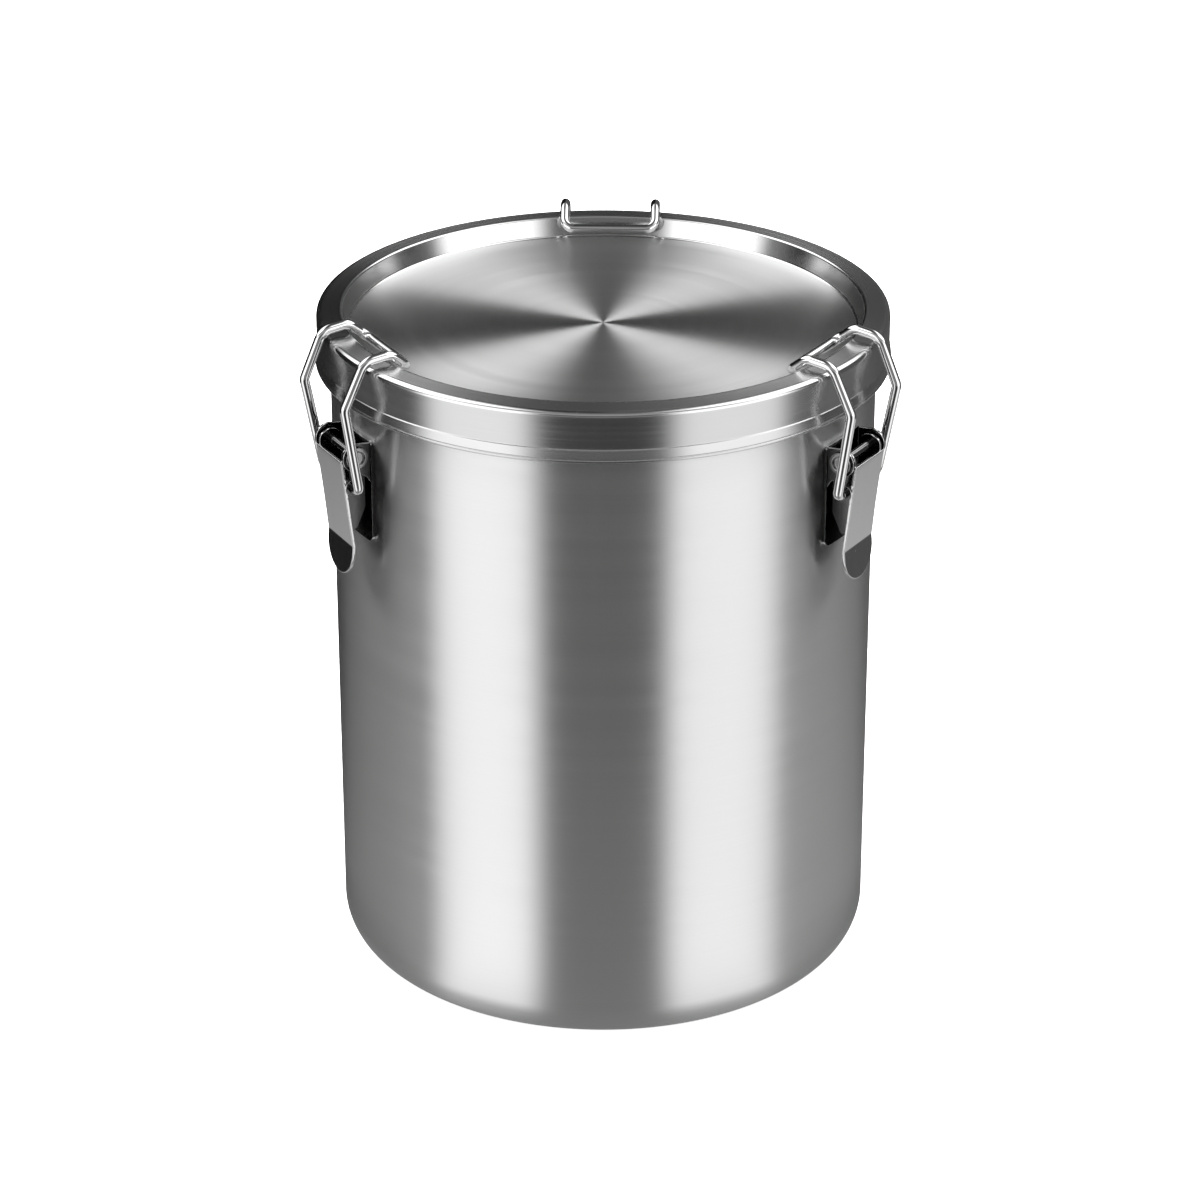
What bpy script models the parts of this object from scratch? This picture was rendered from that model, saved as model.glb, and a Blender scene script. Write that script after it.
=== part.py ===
"""Airtight stainless-steel milk can: a straight deep-drawn can, a sunken lid with a sealing ring, and three over-centre wire latches at 120 degrees.

World frame in metres: Z is up, the can stands on Z = 0 and its axis is the Z axis. One latch is at the back (+Y), the other two at the front left and the front right.
Lengths below are millimetres and are scaled to metres when the meshes are made.
"""

import bmesh
import bpy
import math
from mathutils import Matrix, Vector

MM = 0.001

# can
CAN_RADIUS = 80.0
CAN_WALL = 0.8
CAN_CORNER = 12.2  # radius between the wall and the flat bottom
RIM_BEAD_TOP = 199.9  # top of the can's own rolled mouth
RIM_BEAD_RADIUS = 1.3

# lid
LID_TOP = 203.0  # top of the raised ring, and the height of the closed can without its wires
LID_RADIUS = 83.7
LID_SHEET = 0.8
LID_RING_INNER = 76.0  # radius where the recess wall meets the ring
LID_FLOOR_RADIUS = 74.9  # radius where the recess wall meets the sunken floor
LID_RECESS = 6.0
LID_EDGE = 1.7  # rounding of the ring's outer edge
LID_RING_EDGE = 0.85  # rounding of the ring's inner edge
LID_SKIRT = 15.4  # from the ring's top down to the bottom of the hem
HEM_HEIGHT = 4.7
HEM_RADIUS = 84.3
HEM_INNER = 82.1

# sealing ring
GASKET_INNER, GASKET_OUTER = 77.5, 82.4
GASKET_BOTTOM, GASKET_TOP = 200.15, 201.95

# latches: azimuth of each, and positions in its own plane as (distance from the can's axis, height)
LATCHES = (("rear", 90.0), ("left", 210.0), ("right", 330.0))
LEVER_PIVOT = (84.8, LID_TOP - 28.4)
BAIL_PIVOT = (85.3, LID_TOP - 38.2)

WIRE_RADIUS = 1.5
BAIL_HALF_WIDTH = 13.9  # from the latch's middle plane to the middle of a leg over the lid
BAIL_KNEE_HALF_WIDTH = 13.5
BAIL_FOOT_HALF_WIDTH = 12.1  # the legs lean together towards the lever
BAIL_KNEE = (89.9, LID_TOP - 11.4)
BAIL_SHOULDER = (83.7, LID_TOP + 1.9)
BAIL_CREST = (75.6, LID_TOP + 2.8)
BAIL_HOOK = (69.6, LID_TOP - 2.0)
BAIL_STUB_END = 6.6  # how near the middle plane each inward end stops
BAIL_BENDS = (2.4, 3.0, 5.0, 4.4, 3.2)  # end, knee, shoulder, crest, hook

SHEET = 1.0
LEVER_HALF_WIDTH = 8.35
LEVER_WAIST_HALF_WIDTH = 8.05
LEVER_TOP = (89.2, LID_TOP - 29.5)  # upper edge of the front, outer face
LEVER_KINK = (86.1, LID_TOP - 56.4)
LEVER_TAB_END = (86.9, LID_TOP - 67.0)
LEVER_EYE_RADIUS = 3.1  # of the side flange round the pivot pin
LEVER_HEEL = -22.4  # lower end of the side flanges below the pivot
FLANGE_BACK = 81.55  # nearest the flanges come to the can's axis

BRACKET_BACK, BRACKET_FACE = 80.3, 81.1
BRACKET_HALF_WIDTH = 9.7
BRACKET_TOP, BRACKET_BOTTOM = LID_TOP - 24.3, LID_TOP - 55.6
EAR_THICKNESS = 1.0
EAR_RADIUS = 4.2

PIN_RADIUS = 1.5
PIN_HEAD_RADIUS = 3.4
PIN_HEAD_THICKNESS = 0.7
PIN_HEAD_GAP = 0.12
HOLE_CLEARANCE = 0.1

TURN_SEGMENTS = 64
WIRE_SEGMENTS = 8
HOLE_SEGMENTS = 16


def clear_scene():
    for obj in list(bpy.data.objects):
        bpy.data.objects.remove(obj, do_unlink=True)


def steel(name, colour, roughness, metallic=1.0):
    material = bpy.data.materials.new(name)
    material.use_nodes = True
    shader = material.node_tree.nodes["Principled BSDF"]
    shader.inputs["Base Color"].default_value = (*colour, 1.0)
    shader.inputs["Roughness"].default_value = roughness
    shader.inputs["Metallic"].default_value = metallic
    return material


def object_from(name, bm, smooth=True):
    bmesh.ops.remove_doubles(bm, verts=bm.verts, dist=1e-5)
    bmesh.ops.recalc_face_normals(bm, faces=bm.faces)
    mesh = bpy.data.meshes.new(name)
    bm.to_mesh(mesh)
    bm.free()
    for face in mesh.polygons:
        face.use_smooth = smooth
    obj = bpy.data.objects.new(name, mesh)
    bpy.context.scene.collection.objects.link(obj)
    return obj


def arc(centre, radius, start, end, count):
    """Points on an arc, angles in degrees, both ends included."""
    return [
        (
            centre[0] + radius * math.cos(math.radians(start + (end - start) * i / (count - 1))),
            centre[1] + radius * math.sin(math.radians(start + (end - start) * i / (count - 1))),
        )
        for i in range(count)
    ]


def turned(name, profile, segments):
    """A body turned about Z from a closed (radius, height) outline in mm. Radius 0 makes a pole."""
    bm = bmesh.new()
    rings = []
    for radius, height in profile:
        if radius == 0:
            rings.append([bm.verts.new((0, 0, height * MM))])
            continue
        rings.append(
            [
                bm.verts.new(
                    (
                        radius * MM * math.cos(2 * math.pi * i / segments),
                        radius * MM * math.sin(2 * math.pi * i / segments),
                        height * MM,
                    )
                )
                for i in range(segments)
            ]
        )
    for a, b in zip(rings, rings[1:] + rings[:1]):
        if len(a) == 1 and len(b) == 1:
            continue
        for i in range(segments):
            j = (i + 1) % segments
            if len(a) == 1:
                bm.faces.new((a[0], b[j], b[i]))
            elif len(b) == 1:
                bm.faces.new((a[i], a[j], b[0]))
            else:
                bm.faces.new((a[i], a[j], b[j], b[i]))
    return object_from(name, bm)


def prism(name, outline, low, high, along="y"):
    """A closed outline in mm, extruded along local Y (outline in X, Z) or along local X (outline in Y, Z)."""
    bm = bmesh.new()

    def place(point, depth):
        if along == "y":
            return Vector((point[0], depth, point[1])) * MM
        return Vector((depth, point[0], point[1])) * MM

    near = [bm.verts.new(place(p, low)) for p in outline]
    far = [bm.verts.new(place(p, high)) for p in outline]
    bm.faces.new(near)
    bm.faces.new(far[::-1])
    for i in range(len(outline)):
        j = (i + 1) % len(outline)
        bm.faces.new((near[i], near[j], far[j], far[i]))
    return object_from(name, bm, smooth=False)


def merge(target, other, operation):
    """Applies one exact Boolean to target and removes other."""
    modifier = target.modifiers.new(operation.lower(), "BOOLEAN")
    modifier.operation = operation
    modifier.solver = "EXACT"
    modifier.object = other
    other.hide_render = True
    other.display_type = "WIRE"
    bpy.context.view_layer.update()
    graph = bpy.context.evaluated_depsgraph_get()
    mesh = bpy.data.meshes.new_from_object(target.evaluated_get(graph))
    target.modifiers.remove(modifier)
    target.data = mesh
    bpy.data.objects.remove(other, do_unlink=True)


def local(point, origin):
    return (point[0] - origin[0], point[1] - origin[1])


def circle(centre, radius, segments):
    """A polygon whose flats touch the given radius, so a round shaft of that radius clears it."""
    reach = radius / math.cos(math.pi / segments)
    return [
        (
            centre[0] + reach * math.cos(2 * math.pi * (i + 0.5) / segments),
            centre[1] + reach * math.sin(2 * math.pi * (i + 0.5) / segments),
        )
        for i in range(segments)
    ]


def rounded(corners, radii, count):
    """A 3-D path with each inner corner replaced by a tangent arc of the given radius."""
    points = [corners[0]]
    for before, corner, after, radius in zip(corners, corners[1:], corners[2:], radii):
        a = (before - corner).normalized()
        b = (after - corner).normalized()
        half = a.angle(b) / 2
        reach = radius / math.tan(half)
        centre = corner + (a + b).normalized() * (radius / math.sin(half))
        first = corner + a * reach - centre
        last = corner + b * reach - centre
        turn = first.angle(last)
        for i in range(count):
            s = i / (count - 1)
            points.append(
                centre
                + first * (math.sin((1 - s) * turn) / math.sin(turn))
                + last * (math.sin(s * turn) / math.sin(turn))
            )
    points.append(corners[-1])
    return points


def tube(name, path, radius, segments):
    """A round wire along a path in mm, with flat ends."""
    bm = bmesh.new()
    tangents = []
    for i in range(len(path)):
        before = path[max(i - 1, 0)]
        after = path[min(i + 1, len(path) - 1)]
        a = (path[i] - before).normalized() if i else (after - path[i]).normalized()
        b = (after - path[i]).normalized() if i < len(path) - 1 else a
        tangents.append((a + b).normalized())
    normal = tangents[0].orthogonal().normalized()
    rings = []
    for i, (point, tangent) in enumerate(zip(path, tangents)):
        if i:
            normal = tangents[i - 1].rotation_difference(tangent) @ normal
        normal = (normal - tangent * normal.dot(tangent)).normalized()
        side = tangent.cross(normal)
        rings.append(
            [
                bm.verts.new(
                    (
                        point
                        + normal * (radius * math.cos(2 * math.pi * k / segments))
                        + side * (radius * math.sin(2 * math.pi * k / segments))
                    )
                    * MM
                )
                for k in range(segments)
            ]
        )
    for a, b in zip(rings, rings[1:]):
        for k in range(segments):
            m = (k + 1) % segments
            bm.faces.new((a[k], a[m], b[m], b[k]))
    bm.faces.new(rings[0][::-1])
    bm.faces.new(rings[-1])
    return object_from(name, bm)


def can_profile():
    inner = CAN_RADIUS - CAN_WALL
    corner = (CAN_RADIUS - CAN_CORNER, CAN_CORNER)
    bead = (CAN_RADIUS + 0.9, RIM_BEAD_TOP - RIM_BEAD_RADIUS)
    return (
        [(0, 0)]
        + arc(corner, CAN_CORNER, -90, 0, 7)
        + [(CAN_RADIUS, bead[1] - 1.3)]
        + arc(bead, RIM_BEAD_RADIUS, -70, 110, 6)
        + [(inner + 0.25, RIM_BEAD_TOP - 0.45), (inner, RIM_BEAD_TOP - 1.3)]
        + arc(corner, CAN_CORNER - CAN_WALL, 0, -90, 5)
        + [(0, CAN_WALL)]
    )


def lid_profile():
    floor = LID_TOP - LID_RECESS
    bottom = LID_TOP - LID_SKIRT
    skirt_inner = LID_RADIUS - LID_SHEET
    under = LID_TOP - LID_SHEET
    return (
        [(0, floor), (LID_FLOOR_RADIUS - 1.1, floor), (LID_FLOOR_RADIUS - 0.2, floor + 0.4)]
        + arc((LID_RING_INNER + LID_RING_EDGE - 0.05, LID_TOP - LID_RING_EDGE), LID_RING_EDGE, 172, 90, 4)
        + arc((LID_RADIUS - LID_EDGE, LID_TOP - LID_EDGE), LID_EDGE, 90, 0, 5)
        + [
            (LID_RADIUS, bottom + HEM_HEIGHT),
            (HEM_RADIUS, bottom + HEM_HEIGHT - 1.0),
            (HEM_RADIUS, bottom + 1.1),
            (HEM_RADIUS - 0.9, bottom),
            (HEM_INNER + 0.6, bottom),
            (HEM_INNER, bottom + 0.7),
            (HEM_INNER, bottom + HEM_HEIGHT - 1.2),
            (skirt_inner, bottom + HEM_HEIGHT - 0.3),
        ]
        + arc((LID_RADIUS - LID_EDGE, LID_TOP - LID_EDGE), LID_EDGE - LID_SHEET, 0, 90, 3)
        + [
            (LID_RING_INNER + LID_SHEET + 0.8, under),
            (LID_RING_INNER + LID_SHEET - 0.05, under - 0.7),
            (LID_FLOOR_RADIUS + LID_SHEET + 0.1, floor + 0.3),
            (LID_FLOOR_RADIUS - 0.7, floor - LID_SHEET),
            (0, floor - LID_SHEET),
        ]
    )


def gasket_profile():
    c = 0.4
    return [
        (GASKET_INNER, GASKET_BOTTOM + c),
        (GASKET_INNER + c, GASKET_BOTTOM),
        (GASKET_OUTER - c, GASKET_BOTTOM),
        (GASKET_OUTER, GASKET_BOTTOM + c),
        (GASKET_OUTER, GASKET_TOP - c),
        (GASKET_OUTER - c, GASKET_TOP),
        (GASKET_INNER + c, GASKET_TOP),
        (GASKET_INNER, GASKET_TOP - c),
    ]


def lever_line():
    """Outer face of the lever's front, from its upper edge to the end of the finger tab, about the pivot."""
    top = local(LEVER_TOP, LEVER_PIVOT)
    kink = local(LEVER_KINK, LEVER_PIVOT)
    end = local(LEVER_TAB_END, LEVER_PIVOT)
    up = (top[0] - kink[0], top[1] - kink[1])
    up_length = math.hypot(*up)
    down = (end[0] - kink[0], end[1] - kink[1])
    down_length = math.hypot(*down)
    soft = 1.6
    before = (kink[0] + up[0] / up_length * soft, kink[1] + up[1] / up_length * soft)
    after = (kink[0] + down[0] / down_length * soft, kink[1] + down[1] / down_length * soft)
    middle = (
        (before[0] + 2 * kink[0] + after[0]) / 4,
        (before[1] + 2 * kink[1] + after[1]) / 4,
    )
    return [top, before, middle, after, end]


def offset_in(points, distance):
    """The same line moved towards the can by a distance."""
    moved = []
    for i, point in enumerate(points):
        before = points[max(i - 1, 0)]
        after = points[min(i + 1, len(points) - 1)]
        along = (after[0] - before[0], after[1] - before[1])
        length = math.hypot(*along)
        moved.append((point[0] + along[1] / length * distance, point[1] - along[0] / length * distance))
    return moved


def make_lever():
    outer = lever_line()
    lever = prism(
        "lever",
        outer + offset_in(outer, SHEET)[::-1],
        -LEVER_HALF_WIDTH,
        LEVER_HALF_WIDTH,
    )
    end = local(LEVER_TAB_END, LEVER_PIVOT)[1]
    low = end + LEVER_HALF_WIDTH
    waist = (0.42 * low, 0.62 * low)
    side = [(LEVER_HALF_WIDTH, 3.0), (LEVER_HALF_WIDTH, 0.2 * low)]
    side += [(LEVER_WAIST_HALF_WIDTH, waist[0]), (LEVER_WAIST_HALF_WIDTH, waist[1])]
    side += [(LEVER_HALF_WIDTH - 0.1, 0.88 * low)]
    tab = arc((0, low), LEVER_HALF_WIDTH - 0.05, 0, -180, 13)
    outline = side + tab + [(-y, z) for y, z in side[::-1]]
    merge(lever, prism("outline", outline, -20, 20, along="x"), "INTERSECT")

    # the sides are folded back from the front and rise above it round the pivot pin, so the top of the channel is open
    eye = local(BAIL_PIVOT, LEVER_PIVOT)
    back = FLANGE_BACK - LEVER_PIVOT[0]
    middle = offset_in(outer, SHEET * 0.5)
    low_front = line_at(middle, LEVER_HEEL)
    flange = [line_at(middle, -1.9), (3.75, -0.6), (3.3, 0.75), (2.3, 2.1)]
    flange += arc((0, 0), LEVER_EYE_RADIUS, 68, 210, 9)
    flange += [(back + 0.35, -4.6), (back, eye[1] + 2.6), (back, -15.4), (back + 0.45, -17.2), (back + 1.3, -18.9)]
    flange += [(back + 2.9, LEVER_HEEL + 0.1), low_front]
    for sign in (1, -1):
        inside = LEVER_WAIST_HALF_WIDTH - SHEET
        faces = sorted((sign * inside, sign * (LEVER_WAIST_HALF_WIDTH - 0.02)))
        merge(lever, prism("flange", flange, *faces), "UNION")
    bore = circle((0, 0), PIN_RADIUS + HOLE_CLEARANCE, HOLE_SEGMENTS)
    merge(lever, prism("bore", bore, -15, 15), "DIFFERENCE")
    bore = circle(eye, WIRE_RADIUS + HOLE_CLEARANCE, HOLE_SEGMENTS)
    merge(lever, prism("bore", bore, -15, 15), "DIFFERENCE")
    return lever


def line_at(points, height):
    """Where a downward polyline crosses a height."""
    for a, b in zip(points, points[1:]):
        if a[1] >= height >= b[1]:
            s = (a[1] - height) / (a[1] - b[1])
            return (a[0] + (b[0] - a[0]) * s, height)
    return points[-1]


def make_bracket():
    top = BRACKET_TOP - LEVER_PIVOT[1]
    bottom = BRACKET_BOTTOM - LEVER_PIVOT[1]
    w = BRACKET_HALF_WIDTH
    outline = (
        [(w, top), (-w, top)]
        + arc((-w + 2.0, bottom + 2.0), 2.0, 180, 270, 4)
        + arc((w - 2.0, bottom + 2.0), 2.0, 270, 360, 4)
    )
    back = BRACKET_BACK - LEVER_PIVOT[0]
    face = BRACKET_FACE - LEVER_PIVOT[0]
    bracket = prism("bracket", outline, back, face, along="x")
    ear = arc((0, 0), EAR_RADIUS, 100, -70, 9) + [
        (face - 0.4, -5.8),
        (back + 0.1, -5.8),
        (back + 0.1, top - 0.05),
    ]
    for sign in (1, -1):
        faces = sorted((sign * (w - 0.02), sign * (w - EAR_THICKNESS)))
        merge(bracket, prism("ear", ear, *faces), "UNION")
    bore = circle((0, 0), PIN_RADIUS + 0.05, HOLE_SEGMENTS)
    merge(bracket, prism("bore", bore, -15, 15), "DIFFERENCE")
    return bracket


def make_pin():
    head = BRACKET_HALF_WIDTH - 0.02 + PIN_HEAD_GAP
    end = head + PIN_HEAD_THICKNESS
    profile = [
        (0, -end),
        (PIN_HEAD_RADIUS - 0.5, -end),
        (PIN_HEAD_RADIUS, -end + 0.35),
        (PIN_HEAD_RADIUS, -head),
        (PIN_RADIUS, -head),
        (PIN_RADIUS, head),
        (PIN_HEAD_RADIUS, head),
        (PIN_HEAD_RADIUS, end - 0.35),
        (PIN_HEAD_RADIUS - 0.5, end),
        (0, end),
    ]
    pin = turned("pin", profile, 16)
    # the turned body lies along Z: lay it along the latch's tangent
    pin.data.transform(Matrix.Rotation(math.radians(90), 4, "X"))
    return pin


def make_bail():
    corners = [
        (BAIL_PIVOT, BAIL_FOOT_HALF_WIDTH),
        (BAIL_KNEE, BAIL_KNEE_HALF_WIDTH),
        (BAIL_SHOULDER, BAIL_HALF_WIDTH),
        (BAIL_CREST, BAIL_HALF_WIDTH),
        (BAIL_HOOK, BAIL_HALF_WIDTH),
    ]
    side = []
    for point, half_width in corners:
        x, z = local(point, BAIL_PIVOT)
        side.append(Vector((x, half_width, z)))
    other = [Vector((p.x, -p.y, p.z)) for p in side]
    path = [Vector((0, BAIL_STUB_END, 0))] + side + other[::-1] + [Vector((0, -BAIL_STUB_END, 0))]
    return tube("bail", rounded(path, BAIL_BENDS + BAIL_BENDS[::-1], 4), WIRE_RADIUS, WIRE_SEGMENTS)


clear_scene()

BODY_STEEL = steel("brushed_body_steel", (0.58, 0.58, 0.58), 0.28)
LID_STEEL = steel("brushed_lid_steel", (0.6, 0.6, 0.6), 0.24)
SILICONE = steel("clear_silicone", (0.75, 0.75, 0.72), 0.45, metallic=0.0)
PLATE_STEEL = steel("stamped_latch_steel", (0.56, 0.56, 0.56), 0.2)
WIRE_STEEL = steel("polished_wire_steel", (0.68, 0.68, 0.68), 0.1)

can = turned("can_body", can_profile(), TURN_SEGMENTS)
can.data.materials.append(BODY_STEEL)
lid = turned("lid", lid_profile(), TURN_SEGMENTS)
lid.data.materials.append(LID_STEEL)
gasket = turned("lid_gasket", gasket_profile(), 48)
gasket.data.materials.append(SILICONE)

pieces = (
    ("bracket", make_bracket(), LEVER_PIVOT, PLATE_STEEL),
    ("pivot_pin", make_pin(), LEVER_PIVOT, WIRE_STEEL),
    ("lever", make_lever(), LEVER_PIVOT, PLATE_STEEL),
    ("bail", make_bail(), BAIL_PIVOT, WIRE_STEEL),
)
for kind, source, origin, material in pieces:
    source.data.materials.clear()
    source.data.materials.append(material)
    for side, azimuth in LATCHES:
        turn = math.radians(azimuth)
        obj = bpy.data.objects.new(f"{side}_{kind}", source.data.copy())
        obj.location = (
            origin[0] * math.cos(turn) * MM,
            origin[0] * math.sin(turn) * MM,
            origin[1] * MM,
        )
        obj.rotation_euler = (0, 0, turn)
        bpy.context.scene.collection.objects.link(obj)
    bpy.data.objects.remove(source, do_unlink=True)
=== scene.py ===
"""Looks of the three-latch stainless-steel can: fine surfaces, brushed and polished steel, studio light and camera.

World frame in metres, Z up, the can stands on Z = 0 and its axis is the Z axis. Lengths below are millimetres unless said otherwise.
Latch pieces are made in their own frame: X away from the can's axis, Y along the rim, Z up, with the pivot at the origin.
"""

import math

import bmesh
import bpy
from mathutils import Matrix, Vector


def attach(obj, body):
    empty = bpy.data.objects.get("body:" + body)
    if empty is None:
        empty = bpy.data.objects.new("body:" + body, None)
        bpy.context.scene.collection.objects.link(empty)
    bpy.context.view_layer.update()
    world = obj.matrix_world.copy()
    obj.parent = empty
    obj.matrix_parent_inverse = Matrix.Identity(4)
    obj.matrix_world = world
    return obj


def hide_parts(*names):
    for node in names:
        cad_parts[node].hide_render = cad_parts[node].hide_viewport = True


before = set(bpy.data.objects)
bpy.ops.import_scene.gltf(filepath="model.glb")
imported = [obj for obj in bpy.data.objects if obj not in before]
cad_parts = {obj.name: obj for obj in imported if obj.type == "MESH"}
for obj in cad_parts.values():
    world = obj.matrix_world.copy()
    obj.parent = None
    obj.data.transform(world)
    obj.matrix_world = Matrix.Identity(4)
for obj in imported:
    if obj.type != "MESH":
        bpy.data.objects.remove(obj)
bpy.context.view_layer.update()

MM = 0.001

# the same driving dimensions as the solids
CAN_RADIUS = 80.0
CAN_WALL = 0.8
CAN_CORNER = 12.2
RIM_BEAD_TOP = 199.9
RIM_BEAD_RADIUS = 1.3

LID_TOP = 203.0
LID_RADIUS = 83.7
LID_SHEET = 0.8
LID_RING_INNER = 76.0
LID_FLOOR_RADIUS = 74.9
LID_RECESS = 6.0
LID_EDGE = 1.7
LID_RING_EDGE = 0.85
LID_SKIRT = 15.4
HEM_HEIGHT = 4.7
HEM_RADIUS = 84.3
HEM_INNER = 82.1
RING_FALL = 0.34
RING_TILT = 4.0

GASKET_INNER, GASKET_OUTER = 77.5, 82.4
GASKET_BOTTOM, GASKET_TOP = 200.15, 201.95

LATCHES = (("rear", 90.0), ("left", 210.0), ("right", 330.0))
LEVER_PIVOT = (84.8, LID_TOP - 28.4)
BAIL_PIVOT = (85.3, LID_TOP - 38.2)

WIRE_RADIUS = 1.455
BAIL_HALF_WIDTH = 13.9
BAIL_KNEE_HALF_WIDTH = 13.5
BAIL_FOOT_HALF_WIDTH = 12.1
BAIL_KNEE = (89.9, LID_TOP - 11.4)
BAIL_SHOULDER = (83.7, LID_TOP + 1.9)
BAIL_CREST = (75.6, LID_TOP + 2.8)
BAIL_HOOK = (69.6, LID_TOP - 2.0)
BAIL_STUB_END = 6.6
BAIL_BENDS = (2.4, 3.0, 5.0, 4.4, 3.2)

SHEET = 1.0
LEVER_HALF_WIDTH = 8.35
LEVER_WAIST_HALF_WIDTH = 8.05
LEVER_TOP = (89.2, LID_TOP - 29.5)
LEVER_KINK = (86.1, LID_TOP - 56.4)
LEVER_TAB_END = (86.9, LID_TOP - 67.0)
LEVER_EYE_RADIUS = 3.1
LEVER_HEEL = -22.4
FLANGE_BACK = 81.55

BRACKET_HALF_WIDTH = 9.7
BRACKET_TOP, BRACKET_BOTTOM = LID_TOP - 24.3, LID_TOP - 55.6
EAR_THICKNESS = 1.0
EAR_RADIUS = 4.2

PIN_RADIUS = 1.5
PIN_HEAD_RADIUS = 3.4
PIN_HEAD_THICKNESS = 0.7
PIN_HEAD_GAP = 0.12

SEGMENTS = 288


# ---------------------------------------------------------------- shapes


def arc(centre, radius, start, end, count):
    return [
        (
            centre[0] + radius * math.cos(math.radians(start + (end - start) * i / (count - 1))),
            centre[1] + radius * math.sin(math.radians(start + (end - start) * i / (count - 1))),
        )
        for i in range(count)
    ]


def softened(corners, closed=True, step=9.0):
    """A 2-D outline from (x, y, radius) corners, each rounded with its own radius."""
    out = []
    n = len(corners)
    for i, (x, y, radius) in enumerate(corners):
        if radius <= 0 or (not closed and i in (0, n - 1)):
            out.append((x, y))
            continue
        p = Vector((x, y))
        a = Vector(corners[i - 1][:2]) - p
        b = Vector(corners[(i + 1) % n][:2]) - p
        half = a.angle(b) / 2
        reach = min(radius / math.tan(half), a.length * 0.49, b.length * 0.49)
        radius = reach * math.tan(half)
        a.normalize()
        b.normalize()
        centre = p + (a + b).normalized() * (radius / math.sin(half))
        first, last = p + a * reach - centre, p + b * reach - centre
        turn = first.angle(last)
        count = max(3, int(math.degrees(turn) / step) + 2)
        for k in range(count):
            s = k / (count - 1)
            q = centre + first * (math.sin((1 - s) * turn) / math.sin(turn)) + last * (math.sin(s * turn) / math.sin(turn))
            out.append((q.x, q.y))
    return out


def supported(profile, near=0.12, closed=True):
    """Adds a point close to each end of every long straight run, so that smooth shading stays flat along it."""
    out = []
    n = len(profile)
    for i, p in enumerate(profile):
        out.append(p)
        if not closed and i == n - 1:
            break
        q = profile[(i + 1) % n]
        length = math.hypot(q[0] - p[0], q[1] - p[1])
        if length > 6 * near:
            for s in (near / length, 1 - near / length):
                out.append((p[0] + (q[0] - p[0]) * s, p[1] + (q[1] - p[1]) * s))
    return out


def finished(name, bm, sharp=None):
    bmesh.ops.remove_doubles(bm, verts=bm.verts, dist=1e-6)
    bmesh.ops.recalc_face_normals(bm, faces=bm.faces)
    mesh = bpy.data.meshes.new(name)
    bm.to_mesh(mesh)
    bm.free()
    mesh.shade_smooth()
    if sharp is not None:
        mesh.set_sharp_from_angle(angle=math.radians(sharp))
    obj = bpy.data.objects.new(name, mesh)
    bpy.context.scene.collection.objects.link(obj)
    return obj


def turned(name, profile, segments=SEGMENTS, sharp=None, shift=None):
    """A body turned about Z from a closed (radius, height) outline. shift(radius, height, angle) may move a point a little."""
    bm = bmesh.new()
    rings = []
    for radius, height in profile:
        if radius < 1e-6:
            rings.append([bm.verts.new((0, 0, height * MM))])
            continue
        ring = []
        for i in range(segments):
            angle = 2 * math.pi * i / segments
            r, z = (radius, height) if shift is None else shift(radius, height, angle)
            ring.append(bm.verts.new((r * MM * math.cos(angle), r * MM * math.sin(angle), z * MM)))
        rings.append(ring)
    for a, b in zip(rings, rings[1:] + rings[:1]):
        if len(a) == 1 and len(b) == 1:
            continue
        for i in range(segments):
            j = (i + 1) % segments
            if len(a) == 1:
                bm.faces.new((a[0], b[j], b[i]))
            elif len(b) == 1:
                bm.faces.new((a[i], a[j], b[0]))
            else:
                bm.faces.new((a[i], a[j], b[j], b[i]))
    return finished(name, bm, sharp)


def prism(name, outline, low, high, along="y", bevel=0.0, segments=3):
    """A closed outline extruded along local Y (outline in X, Z), local X (outline in Y, Z) or Z (outline in X, Y), with rounded rims."""
    bm = bmesh.new()

    def place(point, depth):
        if along == "y":
            return Vector((point[0], depth, point[1])) * MM
        if along == "x":
            return Vector((depth, point[0], point[1])) * MM
        return Vector((point[0], point[1], depth)) * MM

    near = [bm.verts.new(place(p, low)) for p in outline]
    far = [bm.verts.new(place(p, high)) for p in outline]
    bm.faces.new(near)
    bm.faces.new(far[::-1])
    for i in range(len(outline)):
        j = (i + 1) % len(outline)
        bm.faces.new((near[i], near[j], far[j], far[i]))
    bmesh.ops.recalc_face_normals(bm, faces=bm.faces)
    if bevel:
        rims = [e for e in bm.edges if (e.verts[0] in near) == (e.verts[1] in near) and len(e.link_faces) == 2]
        bmesh.ops.bevel(bm, geom=rims, offset=bevel * MM, segments=segments, profile=0.5, affect="EDGES", clamp_overlap=True)
    return finished(name, bm)


def merge(target, other, operation):
    modifier = target.modifiers.new(operation.lower(), "BOOLEAN")
    modifier.operation = operation
    modifier.solver = "EXACT"
    modifier.object = other
    bpy.context.view_layer.update()
    mesh = bpy.data.meshes.new_from_object(target.evaluated_get(bpy.context.evaluated_depsgraph_get()))
    target.modifiers.remove(modifier)
    target.data = mesh
    bpy.data.objects.remove(other, do_unlink=True)


def rim_rounded(obj, width, segments=3, angle=50):
    """Rounds every edge sharper than angle."""
    modifier = obj.modifiers.new("rim", "BEVEL")
    modifier.width = width * MM
    modifier.segments = segments
    modifier.limit_method = "ANGLE"
    modifier.angle_limit = math.radians(angle)
    modifier.use_clamp_overlap = True
    bpy.context.view_layer.update()
    mesh = bpy.data.meshes.new_from_object(obj.evaluated_get(bpy.context.evaluated_depsgraph_get()))
    obj.modifiers.remove(modifier)
    obj.data = mesh


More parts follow.
